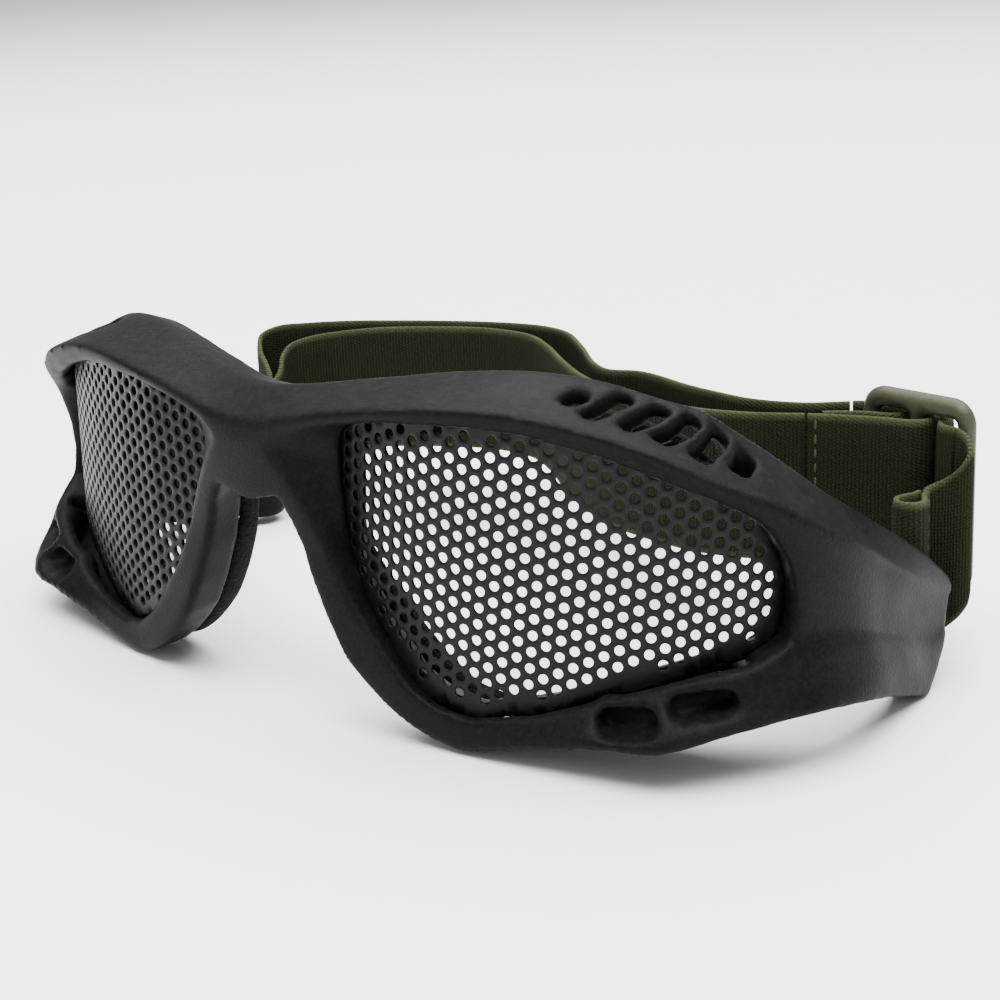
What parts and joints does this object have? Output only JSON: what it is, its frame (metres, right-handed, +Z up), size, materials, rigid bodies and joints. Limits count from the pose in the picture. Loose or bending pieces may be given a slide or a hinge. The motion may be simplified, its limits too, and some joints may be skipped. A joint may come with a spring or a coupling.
{
  "type": "mesh safety goggles",
  "caption": "Wraparound safety goggles with perforated steel lenses in a vented moulded frame, foam face pad and an adjustable webbing head strap.",
  "frame": {"origin": "on the resting plane, under the middle of the whole object", "axes": "+Z up, the front faces -Y, +X to the side of the strap buckle"},
  "size_m": [0.1704, 0.1092, 0.0553],
  "materials": {
    "frame_rubber": "matte moulded soft plastic",
    "lens_steel": "satin black painted steel",
    "retainer_plastic": "matte black",
    "foam": "open-cell foam",
    "rod_plastic": "pale olive moulded plastic",
    "buckle_plastic": "satin olive moulded plastic",
    "webbing": "woven olive elastic webbing"
  },
  "bodies": {
    "frame": {"frame_shell": "frame_rubber", "lens_mesh_right": "lens_steel", "lens_mesh_left": "lens_steel", "lens_retainer_right": "retainer_plastic", "lens_retainer_left": "retainer_plastic", "face_foam": "foam", "strap_front_run": "webbing", "strap_back_run": "webbing", "strap_front_lead": "webbing", "strap_back_lead": "webbing", "strap_right_lead": "webbing"},
    "loop_right": {"strap_loop_right": "webbing", "strap_rod_right": "rod_plastic"},
    "loop_left": {"strap_loop_left": "webbing", "strap_rod_left": "rod_plastic"},
    "buckle": {"tri_glide": "buckle_plastic", "strap_sewn_loop": "webbing", "strap_bar_wrap": "webbing"}
  },
  "joints": [
    {"name": "strap_adjust", "type": "slide", "parent": "frame", "child": "buckle", "axis": [-1, 0, 0], "range_m": [0, 0.012], "deforming": ["strap_front_lead", "strap_back_lead", "strap_right_lead"]},
    {"name": "strap_swing_right", "type": "hinge", "parent": "frame", "child": "loop_right", "pos_m": [0.07419, 0.01562, 0.015], "axis": [0, 0, 1], "range_deg": [-8, 8]},
    {"name": "strap_swing_left", "type": "hinge", "parent": "frame", "child": "loop_left", "pos_m": [-0.07419, 0.01562, 0.015], "axis": [0, 0, 1], "range_deg": [-8, 8]}
  ]
}
